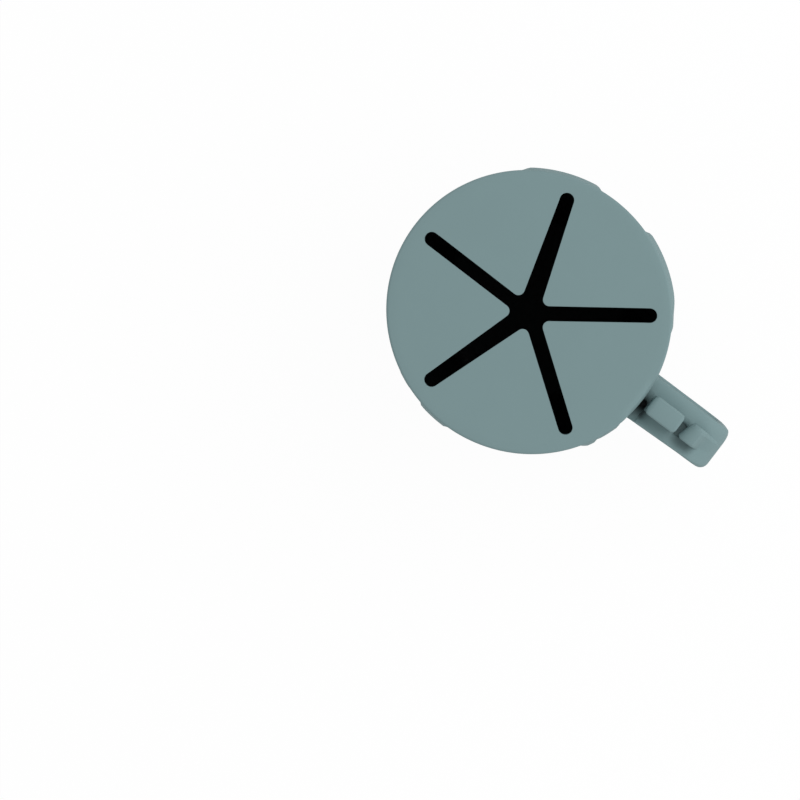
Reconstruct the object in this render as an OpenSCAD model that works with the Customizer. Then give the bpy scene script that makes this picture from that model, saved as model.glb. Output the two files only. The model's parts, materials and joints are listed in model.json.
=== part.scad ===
// Toddler snack container: a soft moulded cup with one side handle and a press-on lid.
// The lid's star opening leaves five flaps, each hinged along the line between two slot ends.
// Millimetres, +Z up. The origin is on the cup's axis at the foot, and the handle points along +X.

/* [Cup] */
// Outer radius of the rim
rim_r = 43.3; // [39:0.1:50]
// Height from the foot to the top of the rim
cup_h = 80; // [70:1:110]
// Outer radius of the foot, before its rounding
foot_r = 33; // [28:0.5:37]
// Wall thickness at the foot
foot_wall = 2.6; // [2:0.1:4]
// Wall thickness at the rim
rim_wall = 1.9; // [1.5:0.1:2.5]
// Thickness of the floor
floor_t = 3; // [2:0.1:5]
// Height of the straight collar that the lid presses on to
collar_h = 11; // [9:0.5:15]
// Rounding of the foot
foot_round = 4; // [2:0.5:7]
// Rounding inside, between the floor and the wall
floor_round = 4; // [2:0.5:8]

/* [Lid] */
// Clearance between the lid and the cup's collar
lid_clear = 0.1; // [0.05:0.05:0.3]
// Thickness of the lid's top
membrane_t = 2; // [1.6:0.1:3]
// Thickness of the skirt outside the collar
skirt_wall = 1.6; // [1.2:0.1:2.4]
// Depth of the skirt below the top of the rim
skirt_drop = 7.8; // [6:0.2:8.6]
// Thickness of the sealing lip inside the collar
lip_wall = 1; // [0.8:0.1:1.6]
// Depth of the sealing lip below the top of the rim
lip_drop = 3; // [2:0.2:5]
// Rounding of the lid's top edge
edge_round = 1; // [0.8:0.1:1.6]
// How far the grip lands stand out of the skirt
land_proud = 1.1; // [0.5:0.1:2]
// Height of the grip lands
land_h = 5; // [3:0.5:6]
// Middle of each grip land, in degrees from the handle
land_at = [49, 113, 264, 337]; // [0:1:359]
// Arc that each grip land covers, in degrees
land_arcs = [42, 34, 16, 18]; // [10:1:50]

/* [Star opening] */
// Ledge left between a slot's end and the sealing lip
slot_ledge = 0.05; // [0:0.05:5]
// Width of a slot at its round end
slot_end_w = 4.5; // [4.2:0.1:6]
// Width of a slot at the middle of the star
slot_hub_w = 5.5; // [4.5:0.1:7]
// Rounding of the flaps' tips
tip_round = 2; // [1:0.1:3]
// Radial clearance of a flap's hinge bead in its groove
bead_clear = 0.05; // [0.05:0.01:0.1]
// Angle that a flap can be pushed down, in degrees
flap_down = 60; // [40:1:75]

/* [Handle] */
// Width of the handle's band
band_w = 16.2; // [14:0.2:24]
// Thickness of the handle's band
band_t = 4.5; // [3.6:0.1:6]
// Distance from the rim's outer face to the handle's outer face
handle_out = 31; // [28:0.1:40]
// Depth of the band's upper face below the top of the rim
band_drop = 9; // [9:0.5:16]
// Height of the lower arm's middle above the foot
lower_arm_z = 24; // [16:1:30]
// Bend radius at the middle of the band
bend_r = 8; // [5:0.5:10]
// Rounding of the band's long edges
band_round = 1.6; // [0.8:0.1:1.8]
// Rounding of the handle's outer corners, seen from above
corner_round = 2.8; // [2:0.1:6]
// Rounding where the handle's roots meet the cup
root_round = 1.5; // [0.5:0.1:2]

/* [Strap keeper] */
// Width of the keeper post and ridge
keeper_w = 6.7; // [5:0.1:8]
// Length of the keeper post
post_l = 11.5; // [9:0.1:13]
// Height of the keeper post above the band
post_h = 7.5; // [6:0.5:9]
// Gap between the lid's edge and the keeper post
post_gap = 2.6; // [2:0.1:4.5]
// Gap between the keeper post and the ridge
strap_gap = 2.3; // [2:0.1:3.5]
// Height of the ridge above the band
ridge_h = 4.2; // [3:0.1:6]
// Length of the ridge's sloping inner end
ridge_run = 4.2; // [2:0.1:5]
// Height over which the ridge's inner end slopes
ridge_rise = 3; // [1:0.1:3]
// Depth of the groove between the post and the ridge
groove_depth = 1.5; // [0.5:0.1:2.5]
// Rounding of the post's corners
post_round = 1.4; // [0.6:0.1:2]
// Bevel round the top of the post
post_bevel = 0.6; // [0.3:0.1:1]
// Width of the pocket in the upper arm, beside the cup
pocket_w = 5.6; // [4:0.1:8]
// Thickness of the band left under the pocket
pocket_floor = 0.9; // [0.6:0.1:2]
// Rounding of the pocket's outer corners
pocket_round = 1.4; // [0.4:0.1:2]

/* [Hidden] */
teal = [0.47, 0.57, 0.58];
$fn = 96;
past = 1; // how far a cutter runs past the face that it cuts
arc_steps = 8;

// Star
flap_count = 5;
flap_pitch = 360 / flap_count;
half_pitch = flap_pitch / 2;

// Levels
lid_top = cup_h + membrane_t;
skirt_z = cup_h - skirt_drop;
lip_z = cup_h - lip_drop;
band_top = cup_h - band_drop;
collar_z = cup_h - collar_h;

// Radii
rim_in_r = rim_r - rim_wall;
skirt_in_r = rim_r + lid_clear;
lid_r = skirt_in_r + skirt_wall;
lip_out_r = rim_in_r - lid_clear;
lip_in_r = lip_out_r - lip_wall;
lead_in = 0.4; // small bevels on the rim, skirt and lip

// Cup wall, which leans out by one angle outside and another inside
floor_in_r = foot_r + (rim_r - foot_r) * floor_t / collar_z - foot_wall;
lean_out = atan((rim_r - foot_r) / collar_z);
lean_in = atan((rim_in_r - floor_in_r) / (collar_z - floor_t));
function wall_r(z) = foot_r + (rim_r - foot_r) * z / collar_z;

// Slots and flaps, worked out for one flap that points along +X
slot_tip_r = lip_in_r - slot_ledge - slot_end_w / 2;
hinge_r = slot_tip_r * cos(half_pitch);
hinge_z = lid_top - membrane_t / 2;
bead_r = membrane_t / 2;
side_a = half_pitch + atan((slot_hub_w - slot_end_w) / 2 / slot_tip_r);
apex_x = slot_hub_w / 2 * (sin(half_pitch) + cos(half_pitch) / tan(side_a));
tip_x = apex_x + tip_round / sin(side_a);
root_y = (hinge_r - apex_x) * tan(side_a);
bead_end_gap = 0.35; // from the bead's end to the slot

// Handle
handle_x = rim_r + handle_out;
grip_x = handle_x - band_t / 2;
upper_arm_z = band_top - band_t / 2;
bend_x = grip_x - bend_r;
pad_proud = 0.7; // how far a root pad stands out of the wall
upper_pad_x = rim_r + pad_proud;
lower_pad_x = wall_r(lower_arm_z + band_t / 2) + pad_proud;
post_x = lid_r + post_gap;
ridge_x = post_x + post_l + strap_gap;
sunk = 0.6; // how deep the keeper runs into the band
groove_round = 0.6;
hollow_ledge = 0.2; // from the pocket or the groove to the post and the ridge

// Points of an arc from angle a to angle b
function arc(centre, r, a, b) =
    [for (i = [0:arc_steps]) let (turn = a + (b - a) * i / arc_steps) centre + r * [cos(turn), sin(turn)]];

// Middle of a rounding of radius r between a floor at height z and a wall that leans out from radius base_r
function fillet_centre(base_r, z, r, lean) =
    let (up = (r - r * sin(lean)) / cos(lean))
    [base_r + up * sin(lean) - r * cos(lean), z + r];

module rounded_rect(size, r) {
    square([size.x - 2 * r, size.y], center = true);
    square([size.x, size.y - 2 * r], center = true);
    for (x = [-1, 1], y = [-1, 1])
        translate([x * (size.x / 2 - r), y * (size.y / 2 - r)]) circle(r);
}

// ---- Cup ----

module cup_outside() {
    rotate_extrude()
        polygon(concat(
            [[0, 0]],
            arc(fillet_centre(foot_r, 0, foot_round, lean_out), foot_round, -90, -lean_out),
            [[rim_r, collar_z], [rim_r, cup_h - lead_in], [rim_r - lead_in, cup_h], [0, cup_h]]
        ));
}

module cup_inside() {
    rotate_extrude()
        polygon(concat(
            [[0, floor_t]],
            arc(fillet_centre(floor_in_r, floor_t, floor_round, lean_in), floor_round, -90, -lean_in),
            [[rim_in_r, collar_z], [rim_in_r, cup_h - lead_in], [rim_in_r + lead_in, cup_h],
             [rim_in_r + lead_in, cup_h + past], [0, cup_h + past]]
        ));
}

// Flat seat on the cup's wall for one end of the handle, flared into the wall by two roundings
module root_pad(face_x, z) {
    flare_x = face_x - root_round;
    translate([0, 0, z - band_t / 2])
        linear_extrude(band_t)
            difference() {
                union() {
                    translate([0, -band_w / 2]) square([face_x, band_w]);
                    translate([0, -band_w / 2 - root_round]) square([flare_x, band_w + 2 * root_round]);
                }
                for (side = [-1, 1])
                    translate([flare_x, side * (band_w / 2 + root_round)]) circle(root_round);
            }
}

module cup() {
    color(teal)
        difference() {
            union() {
                cup_outside();
                root_pad(upper_pad_x, upper_arm_z);
                root_pad(lower_pad_x, lower_arm_z);
            }
            cup_inside();
        }
}

// ---- Handle ----

module band_section() {
    rounded_rect([band_t, band_w], band_round);
}

module arm(from_x, z) {
    translate([from_x, 0, z])
        rotate([0, 90, 0]) linear_extrude(bend_x - from_x) band_section();
}

module bend(z, start_a) {
    translate([bend_x, 0, z])
        rotate([90, 0, 0]) rotate([0, 0, start_a])
            rotate_extrude(angle = 90) translate([bend_r, 0]) band_section();
}

module loop() {
    arm(upper_pad_x, upper_arm_z);
    bend(upper_arm_z - bend_r, 0);
    translate([grip_x, 0, lower_arm_z + bend_r])
        linear_extrude(upper_arm_z - lower_arm_z - 2 * bend_r) band_section();
    bend(lower_arm_z + bend_r, -90);
    arm(lower_pad_x, lower_arm_z);
}

module handle_plan() {
    translate([0, -band_w / 2]) square([handle_x - corner_round, band_w]);
    translate([0, -band_w / 2 + corner_round]) square([handle_x, band_w - 2 * corner_round]);
    for (side = [-1, 1])
        translate([handle_x - corner_round, side * (band_w / 2 - corner_round)]) circle(corner_round);
}

// Post that stands free of the lid's edge, with a bevelled top
module keeper_post() {
    foot_size = [post_l, keeper_w];
    top_size = foot_size - 2 * [post_bevel, post_bevel];
    translate([post_x + post_l / 2, 0, band_top - sunk])
        hull() {
            linear_extrude(post_h + sunk - post_bevel) rounded_rect(foot_size, post_round, $fn = 32);
            linear_extrude(post_h + sunk) rounded_rect(top_size, post_round - post_bevel / 2, $fn = 32);
        }
}

// Ridge past the strap gap: it slopes up from the gap, and dies away round the outer bend
module keeper_ridge() {
    crest_x = ridge_x + ridge_run;
    crest_z = band_top + ridge_h;
    low_z = upper_arm_z - bend_r;
    outer_run = handle_x - crest_x;
    rotate([90, 0, 0])
        linear_extrude(keeper_w, center = true)
            polygon(concat(
                [[ridge_x, band_top - sunk]],
                [for (a = [180:-10:90]) [crest_x + ridge_run * cos(a), crest_z - ridge_rise * (1 - sin(a))]],
                [for (a = [80:-10:0]) [crest_x + outer_run * cos(a), low_z + (crest_z - low_z) * sin(a)]],
                [[grip_x, low_z], [bend_x + bend_r * cos(45), low_z + bend_r * sin(45)]]
            ));
}

// Groove in the band, at the foot of the strap gap
module groove() {
    translate([ridge_x - strap_gap / 2, 0, band_top - groove_depth])
        linear_extrude(band_t)
            rounded_rect([strap_gap - 2 * hollow_ledge, keeper_w - 2 * hollow_ledge], groove_round);
}

// Pocket sunk into the upper arm, from the cup's side to just short of the post
module pocket() {
    near_x = upper_pad_x - past;
    length = post_x - hollow_ledge - near_x;
    translate([near_x, 0, band_top - band_t + pocket_floor])
        linear_extrude(band_t) {
            translate([0, -pocket_w / 2]) square([length - pocket_round, pocket_w]);
            translate([0, pocket_round - pocket_w / 2]) square([length, pocket_w - 2 * pocket_round]);
            for (side = [-1, 1])
                translate([length - pocket_round, side * (pocket_w / 2 - pocket_round)]) circle(pocket_round);
        }
}

module handle() {
    color(teal) {
        difference() {
            intersection() {
                loop();
                linear_extrude(cup_h) handle_plan();
            }
            pocket();
            groove();
        }
        keeper_post();
        keeper_ridge();
    }
}

// ---- Lid ----

module lid_shell() {
    rotate_extrude()
        polygon(concat(
            arc([lid_r - edge_round, lid_top - edge_round], edge_round, 90, 0),
            [[lid_r, skirt_z + lead_in], [lid_r - lead_in, skirt_z],
             [skirt_in_r + lead_in, skirt_z], [skirt_in_r, skirt_z + lead_in],
             [skirt_in_r, cup_h], [lip_out_r, cup_h],
             [lip_out_r, lip_z + lead_in], [lip_out_r - lead_in, lip_z],
             [lip_in_r, lip_z], [lip_in_r, cup_h],
             [0, cup_h], [0, lid_top]]
        ));
}

module grip_land(i) {
    rotate([0, 0, land_at[i] - land_arcs[i] / 2])
        rotate_extrude(angle = land_arcs[i])
            polygon([
                [lid_r - skirt_wall / 2, skirt_z], [lid_r + land_proud - lead_in, skirt_z],
                [lid_r + land_proud, skirt_z + lead_in], [lid_r + land_proud, skirt_z + land_h - land_proud],
                [lid_r - skirt_wall / 2, skirt_z + land_h + skirt_wall / 2]
            ]);
}

// One slot along +X, with a round end
module slot_outline() {
    polygon([
        [0, -slot_hub_w / 2], [slot_tip_r, -slot_end_w / 2],
        [slot_tip_r, slot_end_w / 2], [0, slot_hub_w / 2]
    ]);
    translate([slot_tip_r, 0]) circle(slot_end_w / 2);
}

// The star and the five flaps together: a pentagon whose corners are the slots' ends
module flap_opening() {
    rotate([0, 0, half_pitch]) circle(slot_tip_r, $fn = flap_count);
    for (i = [0:flap_count - 1])
        rotate([0, 0, half_pitch + i * flap_pitch]) slot_outline();
}

// Distance past the hinge that a fully lowered flap reaches, at height z from the hinge's middle
function swing_x(z) = (bead_r + 2 * bead_clear + z * cos(flap_down)) / sin(flap_down);

// Groove for one flap's bead, opened below so that the flap can swing down
module hinge_groove() {
    groove_r = bead_r + bead_clear;
    low = -bead_r - past;
    translate([hinge_r, 0, hinge_z])
        rotate([90, 0, 0])
            linear_extrude(2 * (root_y + slot_end_w / 3), center = true) {
                circle(groove_r);
                polygon([[0, 0], [swing_x(-bead_r / 3), -bead_r / 3], [swing_x(low), low], [0, low]]);
            }
}

module lid() {
    color(teal)
        difference() {
            union() {
                lid_shell();
                for (i = [0:len(land_at) - 1]) grip_land(i);
            }
            translate([0, 0, cup_h - past / 2]) linear_extrude(membrane_t + past) flap_opening();
            for (i = [0:flap_count - 1]) rotate([0, 0, i * flap_pitch]) hinge_groove();
        }
}

// ---- Flaps ----

// One flap: a rounded tip at the hub, straight sides along two slots, and a bead along its root
module flap(i) {
    tip_edge = tip_round * [-sin(side_a), cos(side_a)];
    color(teal)
        rotate([0, 0, i * flap_pitch]) {
            translate([0, 0, cup_h])
                linear_extrude(membrane_t) {
                    polygon([
                        [tip_x, 0] + tip_edge, [hinge_r, root_y],
                        [hinge_r, -root_y], [tip_x + tip_edge.x, -tip_edge.y]
                    ]);
                    translate([tip_x, 0]) circle(tip_round);
                }
            translate([hinge_r, 0, hinge_z])
                rotate([90, 0, 0]) cylinder(r = bead_r, h = 2 * (root_y - bead_end_gap), center = true);
        }
}

module flap_1() { flap(0); }
module flap_2() { flap(1); }
module flap_3() { flap(2); }
module flap_4() { flap(3); }
module flap_5() { flap(4); }

cup();
handle();
lid();
flap_1();
flap_2();
flap_3();
flap_4();
flap_5();
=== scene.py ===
"""Toddler snack container: a silicone cup with a side handle, and a press-on lid with a star opening."""

import json
import math

import bmesh
import bpy
from mathutils import Matrix, Vector


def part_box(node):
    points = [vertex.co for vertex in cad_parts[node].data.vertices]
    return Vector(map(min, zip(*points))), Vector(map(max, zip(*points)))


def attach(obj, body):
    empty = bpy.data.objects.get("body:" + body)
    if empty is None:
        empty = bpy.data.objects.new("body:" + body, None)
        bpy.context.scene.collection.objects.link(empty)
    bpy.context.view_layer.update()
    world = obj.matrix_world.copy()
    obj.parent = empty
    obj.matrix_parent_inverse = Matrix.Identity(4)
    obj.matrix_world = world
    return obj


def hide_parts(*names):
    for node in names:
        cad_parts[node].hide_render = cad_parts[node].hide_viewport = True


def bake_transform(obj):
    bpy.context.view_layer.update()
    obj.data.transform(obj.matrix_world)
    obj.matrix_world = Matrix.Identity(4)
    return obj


bl_info = {
    "name": "Toddler Snack Container",
    "version": (1, 0, 0),
    "blender": (4, 5, 0),
    "location": "3D View > Sidebar > Snack Cup",
    "description": "Builds a silicone snack cup with a side handle and a star-slit lid on its frame",
    "category": "Add Mesh",
}

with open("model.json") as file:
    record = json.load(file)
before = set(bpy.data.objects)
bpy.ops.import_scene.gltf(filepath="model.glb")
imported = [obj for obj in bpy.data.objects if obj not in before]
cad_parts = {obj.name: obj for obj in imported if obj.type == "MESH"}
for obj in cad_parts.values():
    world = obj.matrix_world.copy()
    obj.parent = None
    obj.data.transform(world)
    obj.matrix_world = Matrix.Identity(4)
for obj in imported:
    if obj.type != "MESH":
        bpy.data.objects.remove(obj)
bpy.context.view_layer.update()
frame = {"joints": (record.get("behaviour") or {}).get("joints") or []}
MM = 0.001
FLAP_JOINTS = [j for j in frame["joints"] if j["type"] == "hinge"]
FLAP_PITCH = 2 * math.pi / len(FLAP_JOINTS)
HINGE_R = math.hypot(*FLAP_JOINTS[0]["pos_m"][:2])
CUP_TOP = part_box("cup")[1].z
LID_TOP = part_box("lid")[1].z
SKIRT_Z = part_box("lid")[0].z
HANDLE_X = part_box("handle")[1].x
BAND_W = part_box("handle")[1].y * 2
POST_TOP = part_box("handle")[1].z
ARM_LOW_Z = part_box("handle")[0].z

SPIN_STEPS = 240
SECTION_STEPS = 5  # in each rounding of the handle's sections
SHARP_ANGLE = math.radians(35)
SAME_PLACE = 1e-6  # metres within which two points or heights are one
ROUND_SHARE = 0.45  # the most of a side's length that one rounding takes
CUT_CLEAR = 0.03 * MM  # how far a hollow's rim lies above the band, so that no two faces share a plane
CUT_ABOVE = 1 * MM  # how far a hollow's cutter stands on above the band


# ---- Settings ----


def length(name, about, default):
    return bpy.props.FloatProperty(
        name=name, description=about, default=default, min=0.0, max=1.0, subtype="DISTANCE", unit="LENGTH"
    )


def span(name, about, default):
    return bpy.props.FloatVectorProperty(
        name=name, description=about, default=default, size=2, subtype="TRANSLATION", unit="LENGTH"
    )


def series(name, about, default):
    return bpy.props.FloatVectorProperty(name=name, description=about, default=default, size=len(default))


def degrees(name, about, default):
    return bpy.props.FloatProperty(name=name, description=about, default=default, min=0.0, max=360.0)


def share(name, about, default):
    return bpy.props.FloatProperty(
        name=name, description=about, default=default, min=0.0, max=1.0, subtype="FACTOR"
    )


def colour(name, about, default):
    return bpy.props.FloatVectorProperty(
        name=name, description=about, default=default, min=0.0, max=1.0, size=3, subtype="COLOR"
    )


class SNACK_PG_cup(bpy.types.PropertyGroup):
    """Sizes of the cup."""

    rim_r: length("Rim radius", "Outer radius of the rim", 43.3 * MM)
    foot_r: length("Foot radius", "Outer radius of the foot before its rounding", 33 * MM)
    collar_h: length("Collar height", "Straight part under the lid", 11 * MM)
    rim_wall: length("Rim wall", "Wall thickness at the rim", 1.9 * MM)
    foot_wall: length("Foot wall", "Wall thickness at the foot", 2.6 * MM)
    floor_t: length("Floor", "Thickness of the floor", 3 * MM)
    foot_round: length("Foot rounding", "Rounding of the foot", 4 * MM)
    floor_round: length("Floor rounding", "Rounding between the floor and the wall", 4 * MM)
    rim_round: length("Rim rounding", "Rounding of the rim's two edges", 0.6 * MM)
    oval: share("Oval", "Width across the handle's plane as a share of the width along it", 0.98)
    # Painted shade: over this depth the inside's colour darkens to near black, standing in for the shade
    # inside the closed cup.
    inside_shade_l: length("Dark depth", "Depth below the rim at which the inside has sunk into the dark", 16 * MM)


class SNACK_PG_lid(bpy.types.PropertyGroup):
    """Sizes of the lid and its star opening."""

    clear: length("Clearance", "Clearance between the lid and the collar", 0.1 * MM)
    skirt_wall: length("Skirt wall", "Thickness of the skirt", 1.6 * MM)
    lip_wall: length("Lip wall", "Thickness of the sealing lip", 1 * MM)
    lip_drop: length("Lip depth", "Depth of the sealing lip", 3 * MM)
    edge_round: length("Edge rounding", "Rounding of the top edge", 0.9 * MM)
    crown_r: length("Crown radius", "Radius at which the top starts to fall towards its edge", 42.6 * MM)
    crown_drop: length("Crown drop", "How far the top falls towards its edge", 0.2 * MM)
    small_round: length("Small rounding", "Rounding of the skirt's and lip's lower edges", 0.4 * MM)
    slot_end_w: length("Slot end width", "Width of a slot at its round end", 4.6 * MM)
    slot_hub_w: length("Slot hub width", "Width of a slot at the middle", 4.75 * MM)
    tip_round: length("Tip rounding", "Rounding of the flaps' tips", 2 * MM)
    tip_x: series(
        "Tips along x", "How far each flap's tip is drawn along x, in millimetres",
        (0.55, 0.55, -1.3, -0.9, 0.55),
    )
    tip_y: series(
        "Tips along y", "How far each flap's tip is drawn along y, in millimetres",
        (0, 0, -0.55, -0.25, 0),
    )
    slot_short: series(
        "Shorter slots", "How much shorter each slot is, in millimetres", (0, 0.36, 0, 0.25, 0)
    )
    slot_bevel: length("Slot bevel", "Softening of the slots' upper edges", 0.22 * MM)
    land_h: length("Land width", "Height of a grip land up the skirt", 5 * MM)
    land_at: series(
        "Land places", "Middle of each grip land, in degrees from the handle",
        (50.3, 113, 264, 246, 331.3, 340.3, 36),
    )
    land_arcs: series("Land arcs", "Arc of each grip land, in degrees", (44.6, 35, 17, 13, 10.4, 14.4, 17))
    land_low_fades: series("Land lower fades", "Degrees in which each land rises", (17, 3, 3, 3, 4, 3, 4))
    land_high_fades: series("Land upper fades", "Degrees in which each land falls", (3, 5, 2, 3, 4, 4, 8))
    land_proud: series(
        "Land heights", "How far each grip land stands out, in millimetres",
        (1.2, 0.92, 1.0, 0.55, 1.15, 0.75, 0.62),
    )
    fall_arc: degrees("Fall arc", "Arc of the top edge that falls away beside the handle, in degrees", 24)
    fall_run: length("Fall run", "How far in from the edge that fall starts", 3 * MM)
    fall_drop: length("Fall drop", "How far the edge falls there", 0.9 * MM)
    fall_pull: length("Fall pull", "How far the edge is drawn in there", 0.6 * MM)
    bend_zone: length("Bend zone", "Length of a flap's root that bends", 9 * MM)


class SNACK_PG_handle(bpy.types.PropertyGroup):
    """Sizes of the handle and its strap keeper."""

    band_t: length("Band thickness", "Thickness of the band", 4.5 * MM)
    bend_r: length("Bend radius", "Bend radius at the middle of the band", 8 * MM)
    band_round: length("Band rounding", "Rounding of the band's long edges", 1.6 * MM)
    corner_round: length("Corner rounding", "Rounding of the outer corners, from above", 2.8 * MM)
    band_drop: length("Band depth", "Depth of the band's upper face below the rim", 9 * MM)
    post_gap: length("Post gap", "Gap between the lid's edge and the post", 2.6 * MM)
    post_l: length("Post length", "Length of the keeper post", 11.5 * MM)
    keeper_w: length("Keeper width", "Width of the post and ridge", 6.7 * MM)
    strap_gap: length("Strap gap", "Gap between the post and the ridge", 2.3 * MM)
    post_round: length("Post rounding", "Rounding of the post's corners, from above", 1.4 * MM)
    post_soft: length("Post softness", "Length of the post's soft inner end", 1.8 * MM)
    dome: length("Dome", "How far the tops of the post and ridge rise in their middle", 0.3 * MM)
    soft_edge: length("Soft edge", "Rounding of the post's and ridge's upper edges", 0.7 * MM)
    ridge_h: length("Ridge height", "Height of the ridge above the band", 4.2 * MM)
    ridge_run: length("Ridge end length", "Length of the ridge's sloping inner end", 4.6 * MM)
    ridge_rise: length("Ridge end rise", "Height over which the ridge's inner end slopes", 3.3 * MM)
    ridge_skew: length("Ridge skew", "How far the ridge's inner end leans from edge to middle", 1 * MM)
    ridge_edge: length("Ridge edge", "Rounding of the ridge's upper flank", 1.5 * MM)
    pocket_floor: length("Pocket floor", "Thickness left under the pocket", 0.9 * MM)
    pocket_foot: span("Pocket foot", "Lowest and highest y of the pocket's floor", (-2.1 * MM, -0.6 * MM))
    pocket_mouth: span("Pocket mouth", "Lowest and highest y of the pocket's mouth", (-10 * MM, 4.2 * MM))
    groove_depth: length("Groove depth", "Depth of the groove between the post and the ridge", 1.5 * MM)
    groove_foot: span("Groove foot", "Lowest and highest y of the groove's floor", (-3.2 * MM, 1.1 * MM))
    groove_mouth: span("Groove mouth", "Lowest and highest y of the groove's mouth", (-6 * MM, 4 * MM))
    moat_l: length("Moat length", "How far the moat runs on beside the ridge", 7 * MM)
    moat_w: length("Moat width", "Width of the moat outside the post", 4.6 * MM)
    moat_shallow: length("Moat beside the post", "Depth of the moat beside the post", 0.3 * MM)
    moat_depth: length("Moat depth", "Depth of the moat beside the ridge", 0.9 * MM)
    moat_end: length("Moat end", "Length over which the moat runs out", 3.4 * MM)
    moat_deep: length("Moat at the pocket", "How much deeper the moat is at the pocket", 1.3 * MM)
    moat_fade: length("Moat fade", "Length over which that depth fades", 1.2 * MM)
    # Painted shade: over these depths the moat's, pocket's and groove's colours darken to near black,
    # standing in for the shade in these hollows.
    moat_shade_depth: length("Moat dark", "Depth at which the moat's colour has sunk into the dark", 2 * MM)
    pocket_shade_depth: length("Pocket dark", "Depth at which the pocket's colour has sunk into the dark", 3.3 * MM)
    groove_shade_depth: length("Groove dark", "Depth at which the groove's colour has sunk into the dark", 2.8 * MM)
    crown_run: length("Crown run", "Width over which the band's face falls towards its upper edge", 4.2 * MM)
    crown_fall: length("Crown fall", "How far the band's face would fall at its upper edge", 1.5 * MM)
    flank_round: length("Flank rounding", "Rounding of the band's upper edge", 0.35 * MM)
    flank_lean: length("Flank lean", "How far the band's upper side leans outwards", 0.5 * MM)
    low_round: length("Low rounding", "Rounding of the band's lower edge, away from the corners", 0.8 * MM)
    end_trim: length("End trim", "How far the handle's end stays inside its box", 0.12 * MM)
    low_trim: length("Lower trim", "How far the band's lower edge is drawn in towards the grip", 0.6 * MM)
    high_reach: length("Upper reach", "How far the band's upper edge stands out", 0.1 * MM)


class SNACK_PG_finish(bpy.types.PropertyGroup):
    """Colours of the container and its stage."""

    silicone: colour("Silicone", "Grey teal silicone", (0.195, 0.288, 0.297))
    # Painted shade, not the silicone's own colour: the near-black that the inside darkens to, standing in for
    # the shade inside the closed cup.
    inside: colour("Inside", "Deep petrol silicone inside the cup", (0.006, 0.009, 0.01))
    floor: colour("Floor", "Plain pale floor", (0.8, 0.8, 0.8))


# ---- Mesh helpers ----


def smooth_step(k):
    """0 below 0, 1 above 1 and a soft rise between them."""
    k = min(max(k, 0.0), 1.0)
    return k * k * (3 - 2 * k)


def direction(angle):
    """The unit vector at this angle in radians, in two dimensions."""
    return Vector((math.cos(angle), math.sin(angle)))


def corner_arc(before, corner, after, r, steps):
    """Points of a rounding of radius r at a corner between two straight lines, in two dimensions."""
    a, b = (before - corner).normalized(), (after - corner).normalized()
    half = a.angle(b) / 2
    reach = r / math.tan(half)
    centre = corner + (a + b).normalized() * (r / math.sin(half))
    start, end = corner + a * reach - centre, corner + b * reach - centre
    turn = start.angle_signed(end)
    return [centre + Matrix.Rotation(-turn * i / steps, 2) @ start for i in range(steps + 1)]


def rounded(points, closed=False, steps=6):
    """A chain of (x, y, rounding) corners as points, with each rounded corner as an arc."""
    corners = [Vector(p[:2]) for p in points]
    out = []
    for i, (corner, p) in enumerate(zip(corners, points)):
        r = p[2] if len(p) > 2 else 0
        if r and (closed or 0 < i < len(points) - 1):
            out += corner_arc(corners[i - 1], corner, corners[(i + 1) % len(points)], r, steps)
        else:
            out.append(corner)
    return out


def chain(bm, points, closed=False):
    """Vertices at the points, joined in order by edges."""
    verts = [bm.verts.new(p) for p in points]
    pairs = list(zip(verts, verts[1:]))
    if closed:
        pairs.append((verts[-1], verts[0]))
    return verts, [bm.edges.new(pair) for pair in pairs]


def loft(rings):
    """A solid through closed rings of points, with a flat face at each end."""
    bm = bmesh.new()
    ring, edges = chain(bm, rings[0], closed=True)
    bm.faces.new(ring)
    for places in rings[1:]:
        made = bmesh.ops.extrude_edge_only(bm, edges=edges)["geom"]
        fresh = {g for g in made if isinstance(g, bmesh.types.BMVert)}
        ring = [next(e.other_vert(old) for e in old.link_edges if e.other_vert(old) in fresh) for old in ring]
        edges = [bm.edges.get((a, b)) for a, b in zip(ring, ring[1:] + ring[:1])]
        for vert, place in zip(ring, places):
            vert.co = place
    bm.faces.new(ring)
    return bm


def spin_profile(points):
    """Turns a chain of (radius, height) points once round the cup's axis."""
    bm = bmesh.new()
    verts, edges = chain(bm, [(p.x, 0, p.y) for p in points])
    bmesh.ops.spin(
        bm, geom=verts + edges, cent=(0, 0, 0), axis=(0, 0, 1), angle=2 * math.pi, steps=SPIN_STEPS,
        use_merge=True,
    )
    bmesh.ops.remove_doubles(bm, verts=bm.verts, dist=SAME_PLACE)
    return bm


def slice_at(bm, place, normal):
    """Cuts the mesh along a plane, and keeps both sides."""
    on_plane = 1e-7  # metres
    bmesh.ops.bisect_plane(
        bm, geom=[*bm.verts, *bm.edges, *bm.faces], dist=on_plane, plane_co=place, plane_no=normal
    )


def finish_piece(bm, name, material):
    """The bmesh as a new object at the origin, with its normals out and its sharp edges kept."""
    bmesh.ops.recalc_face_normals(bm, faces=bm.faces)
    mesh = bpy.data.meshes.new(name)
    bm.to_mesh(mesh)
    bm.free()
    mesh.shade_smooth()
    mesh.set_sharp_from_angle(angle=SHARP_ANGLE)
    mesh.materials.append(material)
    piece = bpy.data.objects.new(name, mesh)
    bpy.context.scene.collection.objects.link(piece)
    return piece


def squeeze(piece, oval):
    """Draws a soft piece in across the handle's plane."""
    piece.data.transform(Matrix.Diagonal((1, oval, 1, 1)))


def weight_normals(piece):
    """Lets the large faces lead the shading, so that the flat ones look flat."""
    weighted = piece.modifiers.new("Flat faces", "WEIGHTED_NORMAL")
    weighted.weight = 100  # the strongest
    weighted.keep_sharp = True


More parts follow.
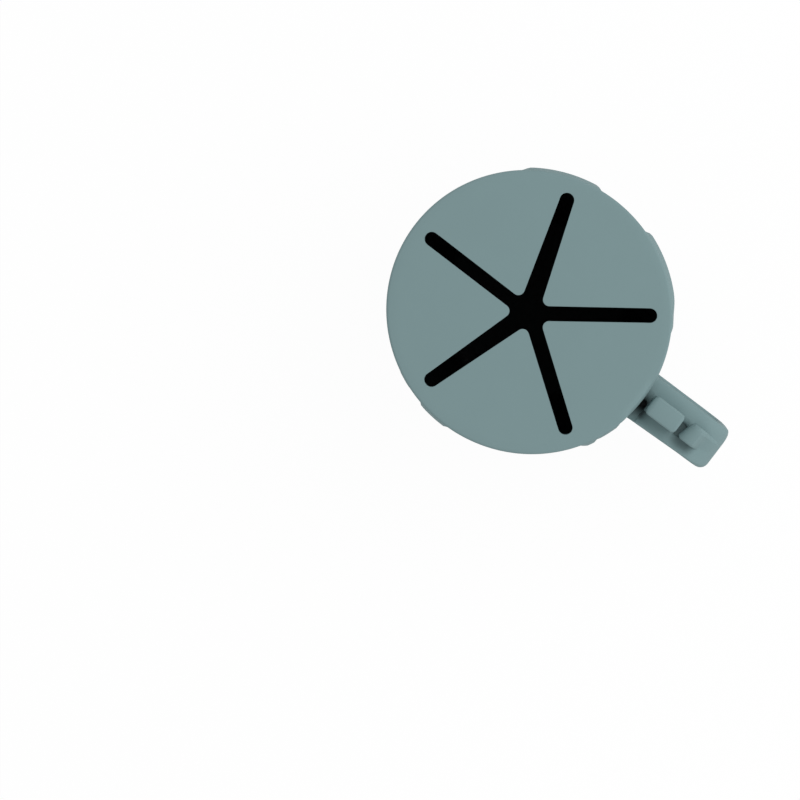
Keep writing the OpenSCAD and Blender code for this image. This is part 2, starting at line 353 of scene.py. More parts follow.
def combine(piece, other, operation):
    """Joins another piece to this one, or cuts it away, and drops the other."""
    cut = piece.modifiers.new("Combine", "BOOLEAN")
    cut.operation = operation
    cut.object = other
    cut.solver = "EXACT"
    deps = bpy.context.evaluated_depsgraph_get()
    mesh = bpy.data.meshes.new_from_object(piece.evaluated_get(deps))
    piece.modifiers.clear()
    piece.data = mesh
    bpy.data.objects.remove(other)


# ---- Materials ----


def node(tree, kind, **values):
    """A new node, with its settings and its sockets' values given by name, settings first."""
    made = tree.nodes.new(kind)
    for name, value in values.items():
        socket = name.replace("_", " ").title()
        if socket in made.inputs:
            made.inputs[socket].default_value = value
        else:
            setattr(made, name, value)
    return made


def math_of(tree, operation, first, second):
    """The result of a Math node on two sockets."""
    made = node(tree, "ShaderNodeMath", operation=operation)
    tree.links.new(first, made.inputs[0])
    tree.links.new(second, made.inputs[1])
    return made.outputs[0]


def ramp(tree, source, start, end):
    """A smooth ramp from 0 at start to 1 at end."""
    made = node(tree, "ShaderNodeMapRange", interpolation_type="SMOOTHSTEP", from_min=start, from_max=end)
    tree.links.new(source, made.inputs["Value"])
    return made.outputs["Result"]


def mix_shaders(tree, share_of_second, first, second):
    """One shader's output that goes over into another's."""
    mix = tree.nodes.new("ShaderNodeMixShader")
    for socket, source in zip(mix.inputs, (share_of_second, first, second)):
        tree.links.new(source, socket)
    return mix.outputs[0]


def silicone_material(name, base):
    """Matte moulded silicone, faintly clouded in tint and sheen, with the mould's fine spark-eroded grain."""
    cloud_scale, grain_scale = 55.0, 3800.0  # for each metre
    matte, matte_spread = 0.62, 0.05
    tint_spread = 0.025
    grain_strength, grain_height = 0.12, 0.04 * MM
    material = bpy.data.materials.new(name)
    material.use_nodes = True
    tree = material.node_tree
    shader = tree.nodes["Principled BSDF"]
    shader.inputs["Specular IOR Level"].default_value = 0.15
    link = tree.links.new
    place = tree.nodes.new("ShaderNodeTexCoord").outputs["Object"]

    cloud = node(tree, "ShaderNodeTexNoise", scale=cloud_scale, detail=3.0, roughness=0.6)
    link(place, cloud.inputs["Vector"])
    dim, bright = ((*[c * (1 + part) for c in base], 1) for part in (-tint_spread, tint_spread))
    shade = node(tree, "ShaderNodeMix", data_type="RGBA", a=dim, b=bright)
    link(cloud.outputs["Fac"], shade.inputs["Factor"])
    link(shade.outputs["Result"], shader.inputs["Base Color"])
    rough = node(tree, "ShaderNodeMapRange", to_min=matte - matte_spread, to_max=matte + matte_spread)
    link(cloud.outputs["Fac"], rough.inputs["Value"])
    link(rough.outputs["Result"], shader.inputs["Roughness"])

    grain = node(tree, "ShaderNodeTexNoise", scale=grain_scale, detail=2.0, roughness=0.55)
    link(place, grain.inputs["Vector"])
    bump = node(tree, "ShaderNodeBump", strength=grain_strength, distance=grain_height)
    link(grain.outputs["Fac"], bump.inputs["Height"])
    link(bump.outputs["Normal"], shader.inputs["Normal"])
    return material


def paint_shade_below(material, dark, top_z, low_z, last_x=None, fade_l=0.0):
    """Paints shade into the silicone's colour: it sinks into the dark between two heights, standing in for
    the shade deep in a hollow.

    Where last_x is given, the painted shade fades out over the length fade_l before it.
    """
    tree = material.node_tree
    shader = tree.nodes["Principled BSDF"]
    even = shader.inputs["Base Color"].links[0].from_socket
    place = next(n for n in tree.nodes if n.type == "TEX_COORD").outputs["Object"]
    split = tree.nodes.new("ShaderNodeSeparateXYZ")
    tree.links.new(place, split.inputs[0])
    depth = ramp(tree, split.outputs["Z"], top_z, low_z)
    if last_x is not None:
        depth = math_of(tree, "MULTIPLY", depth, ramp(tree, split.outputs["X"], last_x, last_x - fade_l))
    sink = node(tree, "ShaderNodeMix", data_type="RGBA", b=(*dark, 1))
    tree.links.new(depth, sink.inputs["Factor"])
    tree.links.new(even, sink.inputs["A"])
    tree.links.new(sink.outputs["Result"], shader.inputs["Base Color"])


def shared_material(name, base):
    """The silicone of this name, made at its first use."""
    return bpy.data.materials.get(name) or silicone_material(name, base)


def stage_material(tint):
    """White to the camera and to reflections, with a part that still takes the object's soft shadow."""
    shadowed, glowing = 0.05, 0.95  # shares of the white that take a shadow and that don't
    material = bpy.data.materials.new("pale_floor")
    material.use_nodes = True
    tree = material.node_tree
    tree.nodes.remove(tree.nodes["Principled BSDF"])
    paths = tree.nodes.new("ShaderNodeLightPath").outputs
    direct = math_of(tree, "MAXIMUM", paths["Is Camera Ray"], paths["Is Glossy Ray"])
    seen = math_of(tree, "MAXIMUM", direct, paths["Is Transmission Ray"])
    plain = node(tree, "ShaderNodeBsdfDiffuse", color=(*tint, 1))
    faint = node(tree, "ShaderNodeBsdfDiffuse", color=(shadowed, shadowed, shadowed, 1))
    glow = node(tree, "ShaderNodeEmission", strength=glowing)
    lit = tree.nodes.new("ShaderNodeAddShader")
    tree.links.new(faint.outputs[0], lit.inputs[0])
    tree.links.new(glow.outputs[0], lit.inputs[1])
    surface = mix_shaders(tree, seen, plain.outputs[0], lit.outputs[0])
    tree.links.new(surface, tree.nodes["Material Output"].inputs["Surface"])
    return material


# ---- Cup ----


def skin_radius(cup, z):
    """The cup's outer radius at this height, before its roundings."""
    lean = (cup.rim_r - cup.foot_r) / (CUP_TOP - cup.collar_h)
    return min(cup.foot_r + lean * z, cup.rim_r)


class SNACK_OT_cup(bpy.types.Operator):
    """Add the cup: an outer shell, an inside with painted shade that darkens from the rim down, and a soft
    rim.
    """

    bl_idname = "snack.cup"
    bl_label = "Cup"

    def execute(self, context):
        size, finish = context.scene.snack_cup, context.scene.snack_finish
        collar_z = CUP_TOP - size.collar_h
        floor_r = skin_radius(size, size.floor_t) - size.foot_wall
        inner_r = size.rim_r - size.rim_wall
        soft_bend = 6 * MM
        bm = spin_profile(rounded([
            (0, 0), (size.foot_r, 0, size.foot_round), (size.rim_r, collar_z, soft_bend),
            (size.rim_r, CUP_TOP, size.rim_round), (inner_r, CUP_TOP, size.rim_round),
            (inner_r, collar_z, soft_bend), (floor_r, size.floor_t, size.floor_round), (0, size.floor_t),
        ]))
        cup = finish_piece(bm, "cup_body", shared_material("teal_silicone", finish.silicone))
        # Painted shade: a copy of the teal whose colour darkens from the rim to near black, standing in for
        # the shade inside the cup.
        inside = silicone_material("inside_painted_shade", finish.silicone)
        paint_shade_below(inside, finish.inside, CUP_TOP, CUP_TOP - size.inside_shade_l)
        cup.data.materials.append(inside)
        for face in cup.data.polygons:
            middle = face.center
            within = middle.xy.length < skin_radius(size, middle.z) - size.rim_wall / 2
            if within and middle.z > size.floor_t / 2:
                face.material_index = 1
        squeeze(cup, size.oval)
        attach(cup, "cup")
        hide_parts("cup")
        return {"FINISHED"}


# ---- Handle ----


def arm_middle(size):
    """Height of the middle of the band's upper arm."""
    return CUP_TOP - size.band_drop - size.band_t / 2


def bend_start(size, trim=0.0):
    """The x at which the arms turn into their bends, for an end that stays this far inside the box."""
    return HANDLE_X - trim - size.band_t / 2 - size.bend_r


def band_ring(size, low_round, spread, drawn_in):
    """One section of the band: x runs through its thickness, outwards positive, and y across its width."""
    t, inner_round = size.band_t / 2 + spread, size.band_round
    high, low = BAND_W / 2 + size.high_reach + spread, BAND_W / 2 - size.low_trim * drawn_in + spread
    fall_steps, last_turn = 6, math.radians(68)
    fall = []
    for i in range(fall_steps + 1):
        turn = last_turn * i / fall_steps
        across = high - size.flank_lean - size.crown_run * (1 - math.sin(turn))
        fall.append((t - size.crown_fall * (1 - math.cos(turn)), across))
    return rounded([(t, -low, low_round)] + fall + [
        (fall[-1][0] - size.flank_round, high - size.flank_lean, size.flank_round), (-t, high, inner_round),
        (-t, -low, inner_round),
    ], closed=True, steps=SECTION_STEPS)


def sweep_band(size, cup):
    """The D-shaped loop of the handle, from its upper root round the grip to its lower root."""
    lower_z = ARM_LOW_Z + size.band_t / 2
    bend_x = bend_start(size, size.end_trim)
    wall_bite = 0.5 * MM  # how far the roots' ends lie in the cup's wall
    flare, flare_l = 1.4 * MM, 2.2 * MM
    corner_from = 0.3  # share of a bend before which the corners keep the low rounding
    root_steps, bend_steps = 6, 10

    def arm(root_x, level, side):
        """An arm's stations, from its root to the middle of the grip, where side is 1 above and -1 below.

        Each holds its centre, its outward side, how far round the bend it is, how near the cup and how far
        drawn in.
        """
        stations = []
        for i in range(root_steps + 1):
            stations.append((Vector((root_x, 0, level)), Vector((0, 0, side)), 0, 1 - i / root_steps, 0))
        for i in range(bend_steps + 1):
            turn = math.radians(90 * i / bend_steps)
            out = Vector((math.sin(turn), 0, side * math.cos(turn)))
            centre = Vector((bend_x, 0, level - side * size.bend_r)) + out * size.bend_r
            stations.append((centre, out, i / bend_steps, 0, 1))
        return stations

    def drape(point, near):
        """Draws a point of the root back towards the cup's skin, and just into its wall where near is 1."""
        skin_x = math.sqrt(skin_radius(cup, point.z) ** 2 - (point.y / cup.oval) ** 2)
        point.x += (skin_x - wall_bite - point.x) * near
        return point

    upper = arm(cup.rim_r + flare_l, arm_middle(size), 1)
    lower = arm(skin_radius(cup, lower_z) + flare_l, lower_z, -1)
    rings = []
    for centre, out, cornered, near, drawn_in in upper + lower[::-1]:
        corner = smooth_step((cornered - corner_from) / (1 - corner_from))
        low_round = size.low_round + (size.corner_round - size.low_round) * corner
        rings.append([
            drape(centre + out * p.x + Vector((0, p.y, 0)), near)
            for p in band_ring(size, low_round, flare * near ** 2, drawn_in)
        ])
    return loft(rings)


def soft_end(run, rise, plan_round, steps=6):
    """A bar's rounded end: at each step, how far in it lies, how far below the top and how much narrower."""
    out = []
    for i in range(steps + 1):
        turn = math.radians(90 * i / steps)
        inward = run * (1 - math.cos(turn))
        k = min(inward / plan_round, 1)
        out.append((inward, rise * (1 - math.sin(turn)), plan_round * (1 - math.sqrt(1 - (1 - k) ** 2))))
    return out


def bar_section(half, base, high_top, low_top, crown, high_round, low_round):
    """One section of a bar that stands on the band: y runs across the band, and the second value upwards."""
    low_round = min(low_round, (low_top - base) * ROUND_SHARE)
    steps = 4
    top = []
    for i in range(1, steps):
        across = 1 - 2 * i / steps
        level = (high_top + low_top) / 2 + (high_top - low_top) / 2 * across
        top.append((half * across, level + crown * (1 - across ** 2)))
    return rounded([(half, base), (half, high_top, high_round)] + top + [
        (-half, low_top, low_round), (-half, base),
    ], closed=True, steps=SECTION_STEPS)


def keeper_post(size, post_x):
    """The post, slightly domed, with a long soft end beside the lid and a shorter one beside the ridge."""
    sunk = 0.8 * MM  # how far its foot lies in the band
    base = CUP_TOP - size.band_drop - sunk
    inner_rise = outer_run = size.post_soft * 0.6
    outer_rise = size.post_soft * 0.4
    middle_steps = 5
    stations = soft_end(size.post_soft, inner_rise, size.post_round)
    outer = soft_end(outer_run, outer_rise, size.post_round)
    last = size.post_l - outer[-1][0]
    for i in range(1, middle_steps):
        stations.append((size.post_soft + (last - size.post_soft) * i / middle_steps, 0, 0))
    stations += [(size.post_l - inward, drop, narrow) for inward, drop, narrow in reversed(outer)]
    rings = []
    for along, drop, narrow in stations:
        half = size.keeper_w / 2 - narrow
        top = POST_TOP - drop - size.dome * (1 + (2 * along / size.post_l - 1) ** 2)
        section = bar_section(half, base, top, top, size.dome, size.soft_edge, size.soft_edge)
        rings.append([Vector((post_x + along, p.x, p.y)) for p in section])
    return loft(rings)


def ridge(size, ridge_x):
    """The ridge: a hump with a sloping inner end, whose lower flank soon runs out into the band."""
    half = size.keeper_w / 2
    bend_x, centre_z = bend_start(size), arm_middle(size) - size.bend_r
    outside = size.bend_r + size.band_t / 2
    base_share = 0.1  # of the band's thickness, from its middle up to the ridge's base
    base = size.bend_r + size.band_t * base_share
    end_steps, bend_steps = 8, 22
    crest_turn, fall_turn, last_turn = 8, 20, 78  # degrees round the bend
    low_from, low_turn = 3, 24  # degrees, for the lower flank
    step_share = 0.5  # share of the height that stays as a step beside the upper edge
    sink = 0.25 * MM

    rings = []
    for inward, drop, narrow in soft_end(size.ridge_run, size.ridge_rise, size.post_round, end_steps):
        along = min(ridge_x + inward, bend_x) - ridge_x
        turn = (inward - along) / (outside + size.ridge_h)
        out = Vector((math.sin(turn), 0, math.cos(turn)))
        middle = Vector((ridge_x + along, 0, centre_z))
        top = outside + size.ridge_h - drop
        section = bar_section(half - narrow, base, top, top, size.dome, size.ridge_edge, size.soft_edge)
        lean = size.ridge_skew * (1 - inward / size.ridge_run)
        rings.append([middle + out * p.y + Vector((lean * p.x / half, p.x, 0)) for p in section])
    first_turn = math.degrees(turn)
    middle = Vector((bend_x, 0, centre_z))
    for i in range(1, bend_steps + 1):
        angle = first_turn + (last_turn - first_turn) * i / bend_steps
        turn = math.radians(angle)
        out = Vector((math.sin(turn), 0, math.cos(turn)))
        stay = step_share * math.cos(turn * 90 / last_turn) ** 2
        fall = (1 - step_share) * (1 - smooth_step((angle - crest_turn) / fall_turn))
        high = size.ridge_h * (stay + fall) - sink * smooth_step((angle - last_turn / 2) / (last_turn / 2))
        gone = smooth_step((angle - low_from) / low_turn)
        low = high * (1 - gone) - sink * gone
        section = bar_section(
            half, base, outside + high, outside + low, size.dome * (1 - gone), size.ridge_edge,
            size.soft_edge * (1 + gone)
        )
        rings.append([middle + out * p.y + Vector((0, p.x, 0)) for p in section])
    return loft(rings)


def hollow(band_top, plan, low_ramp, depth, foot, mouth, far_slope=0.0):
    """A hollow to cut into the band, with a rounded rim.

    The plan is its lowest and highest x, and foot and mouth are each its lowest and highest y.
    The low_ramp share makes its low side a slope, and far_slope widens its far side upwards.
    """
    near_x, far_x = plan
    plan_round, steps = 1.4 * MM, 8
    rings = []
    for i in range(steps + 2):
        turn = math.radians(90 * min(i / steps, 1))
        open_share = 1 - math.cos(turn)
        low_share = open_share + (math.sin(turn) - open_share) * low_ramp
        low = foot[0] + (mouth[0] - foot[0]) * low_share
        high = foot[1] + (mouth[1] - foot[1]) * open_share
        soft = min(plan_round, (far_x - near_x) * ROUND_SHARE, (high - low) * ROUND_SHARE)
        far = far_x - far_slope * (1 - open_share)
        outline = [(near_x, low), (far, low, soft), (far, high, soft), (near_x, high)]
        z = band_top + CUT_CLEAR - depth * (1 - math.sin(turn)) + (CUT_ABOVE if i > steps else 0)
        rings.append([Vector((p.x, p.y, z)) for p in rounded(outline, closed=True, steps=SECTION_STEPS)])
    return loft(rings)


def moat(size, band_top, post_x, post_end, ridge_x):
    """A shallow valley to cut beside the post and the ridge, deepest where it starts at the pocket."""
    steps, slope_steps = 28, 6
    before_post, under_post = 0.6 * MM, 0.3 * MM
    deepen_l = 3 * MM  # length over which it deepens towards the ridge
    least = 0.02 * MM  # depth with which it ends
    bed_share = 0.3  # share of its width before the slope starts
    near_x, far_x = post_x - before_post, ridge_x + size.moat_l
    inner, outer = -size.keeper_w / 2 + under_post, -size.moat_w - size.keeper_w / 2
    bend_x = bend_start(size, size.end_trim)
    bend_out = size.bend_r + size.band_t / 2
    rings = []
    for i in range(steps + 1):
        x = near_x + (far_x - near_x) * i / steps
        at_pocket = math.exp(-max(x - post_x, 0) / size.moat_fade)
        at_ridge = smooth_step((x - post_end + deepen_l / 2) / deepen_l)
        ending = smooth_step((far_x - x) / size.moat_end)
        bend_drop = bend_out - math.sqrt(bend_out ** 2 - max(x - bend_x, 0) ** 2)
        depth = size.moat_shallow + (size.moat_depth - size.moat_shallow) * at_ridge
        depth = max((depth + size.moat_deep * at_pocket) * ending, least)
        section = [(inner, CUT_ABOVE), (inner, -depth)]
        for k in range(slope_steps + 1):
            across = k / slope_steps
            y = inner + (outer - inner) * (bed_share + (1 - bed_share) * across)
            section.append((y, CUT_CLEAR - depth * (1 - smooth_step(across))))
        section.append((outer, CUT_ABOVE))
        rings.append([Vector((x, y, band_top - bend_drop + z)) for y, z in section])
    return loft(rings)


class SNACK_OT_handle(bpy.types.Operator):
    """Add the handle: a D-shaped band with a keeper post, a ridge and a pocket beside the cup."""

    bl_idname = "snack.handle"
    bl_label = "Handle"

    def execute(self, context):
        size, lid, finish = context.scene.snack_handle, context.scene.snack_lid, context.scene.snack_finish
        cup = context.scene.snack_cup
        band_top = CUP_TOP - size.band_drop
        post_x = cup.rim_r + lid.clear + lid.skirt_wall + size.post_gap
        post_end = post_x + size.post_l
        ridge_x = post_end + size.strap_gap
        # Painted shade: the pocket, groove and moat get copies of the silicone whose colour darkens with
        # depth below the band, standing in for the shade in these hollows; it fades out just before the
        # moat's end.
        shade_short = 0.6 * MM  # how far before the moat's end its dark stops
        shade_end_x = ridge_x + size.moat_l - shade_short
        teal = shared_material("teal_silicone", finish.silicone)
        painted_shade = []
        hollow_shade_depths = {"pocket": size.pocket_shade_depth, "groove": size.groove_shade_depth, "moat": size.moat_shade_depth}
        for name, depth in hollow_shade_depths.items():
            painted_shade.append(silicone_material("deep_" + name, finish.silicone))
            paint_shade_below(painted_shade[-1], finish.inside, band_top, band_top - depth, shade_end_x, size.moat_end)

        handle = finish_piece(sweep_band(size, cup), "side_handle", teal)
        for material in painted_shade:
            handle.data.materials.append(material)
        pocket_wall, pocket_slope, pocket_ramp = 0.7 * MM, 0.4 * MM, 0.6
        pocket = hollow(
            band_top, (cup.rim_r + pocket_wall, post_x), pocket_ramp,
            size.band_t - size.pocket_floor, size.pocket_foot, size.pocket_mouth, pocket_slope,
        )
        groove_clear, under_ridge, groove_ramp = 0.05 * MM, 0.4 * MM, 0.3
        groove = hollow(
            band_top, (post_end + groove_clear, ridge_x + under_ridge), groove_ramp,
            size.groove_depth, size.groove_foot, size.groove_mouth,
        )
        valley = moat(size, band_top, post_x, post_end, ridge_x)
        for slot, bm in enumerate((pocket, groove, valley), 1):
            cutter = finish_piece(bm, "hollow", teal)
            for material in painted_shade:
                cutter.data.materials.append(material)
            for face in cutter.data.polygons:
                face.material_index = slot
            combine(handle, cutter, "DIFFERENCE")
        combine(handle, finish_piece(keeper_post(size, post_x), "post", teal), "UNION")
        combine(handle, finish_piece(ridge(size, ridge_x), "ridge", teal), "UNION")

        handle.data.shade_smooth()
        handle.data.set_sharp_from_angle(angle=SHARP_ANGLE)
        weight_normals(handle)
        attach(handle, "cup")
        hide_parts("handle")
        return {"FINISHED"}


# ---- Lid and flaps ----


def flap_out(i):
    """The direction from the middle of the star to a flap's root."""
    return direction(FLAP_PITCH * i).to_3d()


def star_outline(size, z):
    """The edge of the star opening: five round slot ends and five round flap tips."""
    half_pitch = FLAP_PITCH / 2
    slot_tip_r = HINGE_R / math.cos(half_pitch)
    taper = math.atan((size.slot_hub_w - size.slot_end_w) / 2 / slot_tip_r)
    side = half_pitch + taper
    apex_x = size.slot_hub_w / 2 * (math.sin(half_pitch) + math.cos(half_pitch) / math.tan(side))
    tip = Vector((apex_x + size.tip_round / math.sin(side), 0))
    tip_from, tip_to = math.pi + (math.pi / 2 - side), math.pi - (math.pi / 2 - side)
    end_from = -math.pi / 2 - taper
    tip_steps, end_steps = 8, 14
    points = []
    for i in range(len(FLAP_JOINTS)):
        turn = Matrix.Rotation(FLAP_PITCH * i, 2)
        for k in range(tip_steps + 1):
            angle = tip_from + (tip_to - tip_from) * k / tip_steps
            points.append(turn @ (tip + size.tip_round * direction(angle)))
        turn = Matrix.Rotation(FLAP_PITCH * i + half_pitch, 2)
        end = Vector((slot_tip_r - size.slot_short[i] * MM, 0))
        for k in range(end_steps + 1):
            angle = end_from - 2 * end_from * k / end_steps
            points.append(turn @ (end + size.slot_end_w / 2 * direction(angle)))
    return [(p.x, p.y, z) for p in points]


def boundary_at(bm, radius, z):
    """Open edges of the ring at this radius and height."""
    same_radius = 10 * SAME_PLACE

    def on_ring(vert):
        return abs(vert.co.xy.length - radius) < same_radius and abs(vert.co.z - z) < SAME_PLACE

    return [e for e in bm.edges if e.is_boundary and all(on_ring(v) for v in e.verts)]


def land_rise(size, azimuth):
    """How far the skirt stands out at this azimuth, in degrees from the handle."""
    rise = 0.0
    for middle, arc, proud, low_fade, high_fade in zip(
        size.land_at, size.land_arcs, size.land_proud, size.land_low_fades, size.land_high_fades
    ):
        off = (azimuth - middle + 180) % 360 - 180
        here = smooth_step((arc / 2 + off) / low_fade) * smooth_step((arc / 2 - off) / high_fade)
        rise = max(rise, proud * MM * here)
    return rise


def swell_lands(bm, size, lid_r):
    """Leans the skirt's lower part out into the grip lands."""
    lean_share = 0.8  # share of a land's height over which it leans out
    for vert in bm.verts:
        radius = vert.co.xy.length
        below = (SKIRT_Z + size.land_h - vert.co.z) / size.land_h
        if radius > lid_r - size.small_round - SAME_PLACE and below > 0:
            rise = land_rise(size, math.degrees(math.atan2(vert.co.y, vert.co.x)))
            vert.co.xy *= (radius + rise * min(below / lean_share, 1)) / radius


def lower_edge(bm, size, lid_r):
    """Lets the top edge fall away softly beside the handle."""
    half_arc = size.fall_arc / 2
    for vert in bm.verts:
        off = abs(math.degrees(math.atan2(vert.co.y, vert.co.x)))
        radius = vert.co.xy.length
        inwards = lid_r - radius
        if inwards < size.fall_run and vert.co.z > LID_TOP - size.crown_drop - size.edge_round - SAME_PLACE:
            here = smooth_step((half_arc - off) / (half_arc / 2)) * (1 - inwards / size.fall_run) ** 2
            vert.co.z -= size.fall_drop * here
            vert.co.xy *= (radius - size.fall_pull * here) / radius


def whole_lid(size, cup):
    """The lid in one piece, with its star opening, before the flaps are parted from it."""
    skirt_in = cup.rim_r + size.clear
    lid_r = skirt_in + size.skirt_wall
    lip_out = cup.rim_r - cup.rim_wall - size.clear
    lip_in = lip_out - size.lip_wall
    lip_z = CUP_TOP - size.lip_drop
    flat_r = size.crown_r - 1.3 * MM
    crown_round, small = 24 * MM, size.small_round
    land_z, land_step, skirt_foot = SKIRT_Z + size.land_h, 0.2 * MM, 0.8 * MM
    bm = spin_profile(rounded([
        (flat_r, LID_TOP), (size.crown_r, LID_TOP, crown_round),
        (lid_r, LID_TOP - size.crown_drop, size.edge_round),
        (lid_r, land_z), (lid_r, land_z - land_step), (lid_r, SKIRT_Z + skirt_foot),
        (lid_r, SKIRT_Z, small), (skirt_in, SKIRT_Z, small), (skirt_in, CUP_TOP), (lip_out, CUP_TOP),
        (lip_out, lip_z, small), (lip_in, lip_z, small), (lip_in, CUP_TOP),
    ]))
    for radius, z in ((flat_r, LID_TOP), (lip_in, CUP_TOP)):
        rim = boundary_at(bm, radius, z)
        star = chain(bm, star_outline(size, z), closed=True)[1]
        bmesh.ops.triangle_fill(bm, use_beauty=True, use_dissolve=False, edges=rim + star, normal=(0, 0, 1))
    bmesh.ops.bridge_loops(bm, edges=[e for e in bm.edges if e.is_boundary])
    bmesh.ops.recalc_face_normals(bm, faces=bm.faces)
    swell_lands(bm, size, lid_r)
    lower_edge(bm, size, lid_r)
    square = 1.0  # radians between two faces, above which their edge is a slot's
    slot_edges = [
        e for e in bm.edges
        if all(v.co.z > LID_TOP - SAME_PLACE for v in e.verts) and e.calc_face_angle(0) > square
    ]
    bmesh.ops.bevel(
        bm, geom=slot_edges, offset=size.slot_bevel, offset_type="OFFSET", segments=3, profile=0.5,
        affect="EDGES", clamp_overlap=True, material=-1,
    )
    return bm


def part_at_hinges(bm, keep_flap=None):
    """Cuts the lid along the flaps' hinge lines, and keeps the ring, or one flap."""
    outs = [flap_out(i) for i in range(len(FLAP_JOINTS))]
    for out in outs:
        slice_at(bm, out * HINGE_R, out)
    drop = []
    for face in bm.faces:
        middle = face.calc_center_median()
        within = max(out.dot(middle) for out in outs) < HINGE_R
        sector = round(math.atan2(middle.y, middle.x) / FLAP_PITCH) % len(FLAP_JOINTS)
        mine = not within if keep_flap is None else within and sector == keep_flap
        if not mine:
            drop.append(face)
    bmesh.ops.delete(bm, geom=drop, context="FACES")
    bmesh.ops.holes_fill(bm, edges=[e for e in bm.edges if e.is_boundary], sides=0)


class SNACK_OT_lid(bpy.types.Operator):
    """Add the lid: its top, rounded edge, skirt with grip lands and sealing lip, without the flaps."""

    bl_idname = "snack.lid"
    bl_label = "Lid"

    def execute(self, context):
        scene = context.scene
        bm = whole_lid(scene.snack_lid, scene.snack_cup)
        part_at_hinges(bm)
        lid = finish_piece(bm, "lid_ring", shared_material("teal_silicone", scene.snack_finish.silicone))
        squeeze(lid, scene.snack_cup.oval)
        weight_normals(lid)
        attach(lid, "lid")
        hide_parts("lid")
        return {"FINISHED"}


class SNACK_OT_flaps(bpy.types.Operator):
    """Add the five flaps, each meeting the lid ring along its hinge line, with extra cuts across its root
    where it would bend and its tip drawn slightly aside.
    """

    bl_idname = "snack.flaps"
    bl_label = "Flaps"

    def execute(self, context):
        scene = context.scene
        size, oval = scene.snack_lid, scene.snack_cup.oval
        teal = shared_material("teal_silicone", scene.snack_finish.silicone)
        bend_cuts = 9
        for i, joint in enumerate(FLAP_JOINTS):
            body = joint["child"]
            bm = whole_lid(size, scene.snack_cup)
            part_at_hinges(bm, keep_flap=i)
            out = flap_out(i)
            for k in range(1, bend_cuts + 1):
                slice_at(bm, out * (HINGE_R - size.bend_zone * k / bend_cuts), out)
            pull = Vector((size.tip_x[i], size.tip_y[i], 0)) * MM
            for vert in bm.verts:
                vert.co += pull * (1 - out.dot(vert.co) / HINGE_R)
            flap = finish_piece(bm, "lid_" + body, teal)
            squeeze(flap, oval)
            weight_normals(flap)
            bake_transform(flap)
            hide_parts(body)
        return {"FINISHED"}


# ---- Stage ----


def towards(azimuth, elevation):
    """The direction at this azimuth from the handle and this elevation, both in degrees."""
    a, e = math.radians(azimuth), math.radians(elevation)
    return Vector((math.cos(a) * math.cos(e), math.sin(a) * math.cos(e), math.sin(e)))


def aim_camera(scene):
    """Looks down on the lid from almost straight above, with the lid at its place in the view."""
    view_px = 800
    lid_px = Vector((528.9, 312.3))
    lid_radius_px, lid_radius = 144.0, 45 * MM
    away = 1.3
    roll = math.radians(37)
    tilt, tilt_azimuth = 1.4, 90  # degrees
    lid_centre = Vector((0, 0, LID_TOP))
    focal_px = away * lid_radius_px / lid_radius
    back = towards(tilt_azimuth, 90 - tilt)
    view_up = Vector((-math.sin(roll), math.cos(roll), 0))
    right = view_up.cross(back).normalized()
    up = back.cross(right)
    off_right = (lid_px.x - view_px / 2) / focal_px
    off_up = (view_px / 2 - lid_px.y) / focal_px
    z_axis = (back + right * off_right + up * off_up).normalized()
    x_axis = up.cross(z_axis).normalized()
    y_axis = z_axis.cross(x_axis)
    data = bpy.data.cameras.new("camera")
    data.lens = data.sensor_width * focal_px / view_px
    data.clip_end = 20  # metres
    camera = bpy.data.objects.new("camera", data)
    turn = Matrix((x_axis, y_axis, z_axis)).transposed()
    camera.matrix_world = Matrix.Translation(lid_centre + back * away) @ turn.to_4x4()
    scene.collection.objects.link(camera)
    scene.camera = camera


def add_lamp(scene, name, azimuth, elevation, power):
    """A square soft box that points at the cup."""
    distance, width = 0.9, 0.9
    data = bpy.data.lights.new(name, "AREA")
    data.size = width
    data.energy = power
    lamp = bpy.data.objects.new(name, data)
    back = towards(azimuth, elevation)
    lamp.location = Vector((0, 0, CUP_TOP)) + back * distance
    lamp.rotation_euler = back.to_track_quat("Z", "Y").to_euler()
    scene.collection.objects.link(lamp)


def studio_world():
    """A soft even sky that the camera sees as white."""
    white, sky_strength = (1, 1, 1, 1), 0.685
    world = bpy.data.worlds.new("studio")
    world.use_nodes = True
    tree = world.node_tree
    sky = tree.nodes["Background"]
    sky.inputs["Color"].default_value = white
    sky.inputs["Strength"].default_value = sky_strength
    backdrop = node(tree, "ShaderNodeBackground", color=white)
    seen = tree.nodes.new("ShaderNodeLightPath").outputs["Is Camera Ray"]
    surface = mix_shaders(tree, seen, sky.outputs[0], backdrop.outputs[0])
    tree.links.new(surface, tree.nodes["World Output"].inputs["Surface"])
    return world


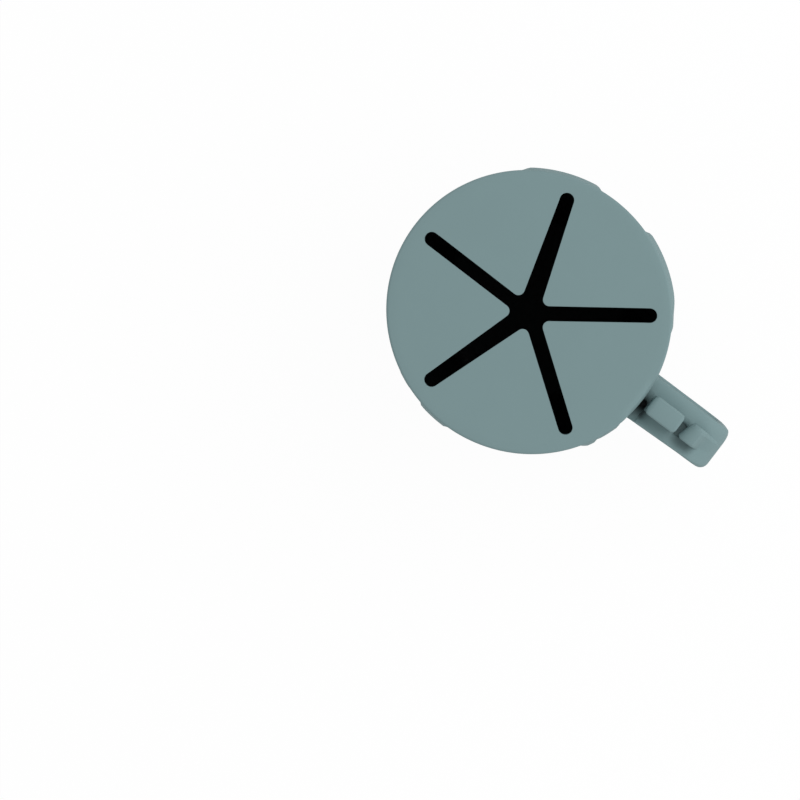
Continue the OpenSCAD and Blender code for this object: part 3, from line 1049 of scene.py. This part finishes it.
class SNACK_OT_stage(bpy.types.Operator):
    """Add the floor, the soft lamps, the world and the camera."""

    bl_idname = "snack.stage"
    bl_label = "Stage"

    def execute(self, context):
        scene = context.scene
        floor_half_w = 3  # metres
        bm = bmesh.new()
        bmesh.ops.create_grid(bm, x_segments=1, y_segments=1, size=floor_half_w)
        floor = finish_piece(bm, "floor", stage_material(scene.snack_finish.floor))
        scene.world = studio_world()
        add_lamp(scene, "key", azimuth=62, elevation=47, power=3.3)
        add_lamp(scene, "side", azimuth=10, elevation=20, power=1.2)
        scene.view_settings.view_transform = "Standard"
        aim_camera(scene)
        return {"FINISHED"}


class SNACK_PT_panel(bpy.types.Panel):
    """Sizes, colours and pieces of the snack container."""

    bl_label = "Snack Cup"
    bl_idname = "SNACK_PT_panel"
    bl_space_type = "VIEW_3D"
    bl_region_type = "UI"
    bl_category = "Snack Cup"

    def draw(self, context):
        for group, kind in GROUPS.items():
            box = self.layout.box()
            for setting in kind.__annotations__:
                box.prop(getattr(context.scene, group), setting)
        for operator in OPERATORS:
            self.layout.operator(operator.bl_idname)


OPERATORS = (SNACK_OT_stage, SNACK_OT_cup, SNACK_OT_handle, SNACK_OT_lid, SNACK_OT_flaps)
GROUPS = {
    "snack_cup": SNACK_PG_cup,
    "snack_lid": SNACK_PG_lid,
    "snack_handle": SNACK_PG_handle,
    "snack_finish": SNACK_PG_finish,
}


def register():
    for cls in (*GROUPS.values(), *OPERATORS, SNACK_PT_panel):
        bpy.utils.register_class(cls)
    for name, group in GROUPS.items():
        setattr(bpy.types.Scene, name, bpy.props.PointerProperty(type=group))


def unregister():
    for name in GROUPS:
        delattr(bpy.types.Scene, name)
    for cls in (SNACK_PT_panel, *reversed(OPERATORS), *reversed(GROUPS.values())):
        bpy.utils.unregister_class(cls)


def main():
    register()
    bpy.ops.snack.stage()
    bpy.ops.snack.cup()
    bpy.ops.snack.handle()
    bpy.ops.snack.lid()
    bpy.ops.snack.flaps()


if __name__ == "__main__":
    main()
